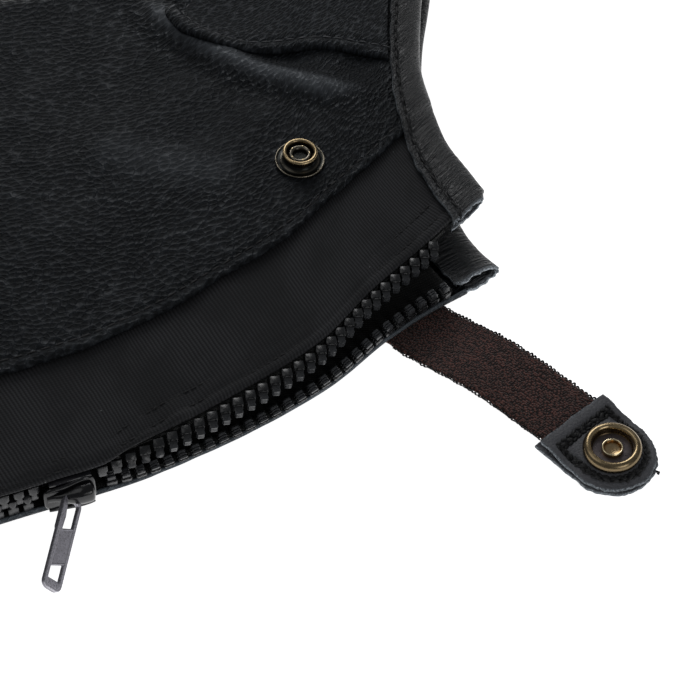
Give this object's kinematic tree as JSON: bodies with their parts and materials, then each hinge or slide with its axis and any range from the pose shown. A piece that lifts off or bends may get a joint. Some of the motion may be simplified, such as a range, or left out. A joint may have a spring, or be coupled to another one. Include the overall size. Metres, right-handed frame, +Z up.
{
  "type": "half chap",
  "caption": "Leather half chap lying on its side, with an elastic gusset, a moulded zip open at the ankle and a snap strap.",
  "frame": {"origin": "on the surface that the half chap lies on, under the middle of its length", "axes": "+X down the leg from the knee hem to the ankle hem, +Y across from the zip to the shin fold, +Z up from the surface"},
  "size_m": [0.4527, 0.2229, 0.0236],
  "materials": {
    "leather": "black pebbled leather, satin",
    "elastic": "black ribbed elastic, matte",
    "tape": "black woven zip tape, matte",
    "teeth": "black moulded zip teeth, satin",
    "slider": "gloss black enamel on cast zinc",
    "pull": "gunmetal enamel on cast zinc",
    "strap": "dark brown woven elastic webbing",
    "tab": "charcoal leather with raw cut edges",
    "brass": "antique brass"
  },
  "bodies": {
    "half_chap": {"ankle_binding_inner": "leather", "ankle_binding_outer": "leather", "elastic_panel": "elastic", "inner_panel": "leather", "instep_patch": "leather", "knee_binding_inner": "leather", "knee_binding_outer": "leather", "outer_panel": "leather", "shin_panel": "leather", "snap_cap": "brass", "snap_socket": "brass", "snap_stud": "brass", "strap": "strap", "strap_tab_bottom": "tab", "strap_tab_top": "tab", "zip_box": "teeth", "zip_chain": "teeth", "zip_slider": "slider", "zip_tape_lower": "tape", "zip_tape_upper": "tape", "zip_teeth_lower": "teeth", "zip_teeth_upper": "teeth"},
    "pull_tab": {"zip_pull": "pull"}
  },
  "joints": [
    {"name": "pull_hinge", "type": "hinge", "parent": "half_chap", "child": "pull_tab", "pos_m": [0.08797, -0.10667, 0.00707], "axis": [-0.5939, 0.1287, 0.7941], "range_deg": [0, 40]}
  ]
}
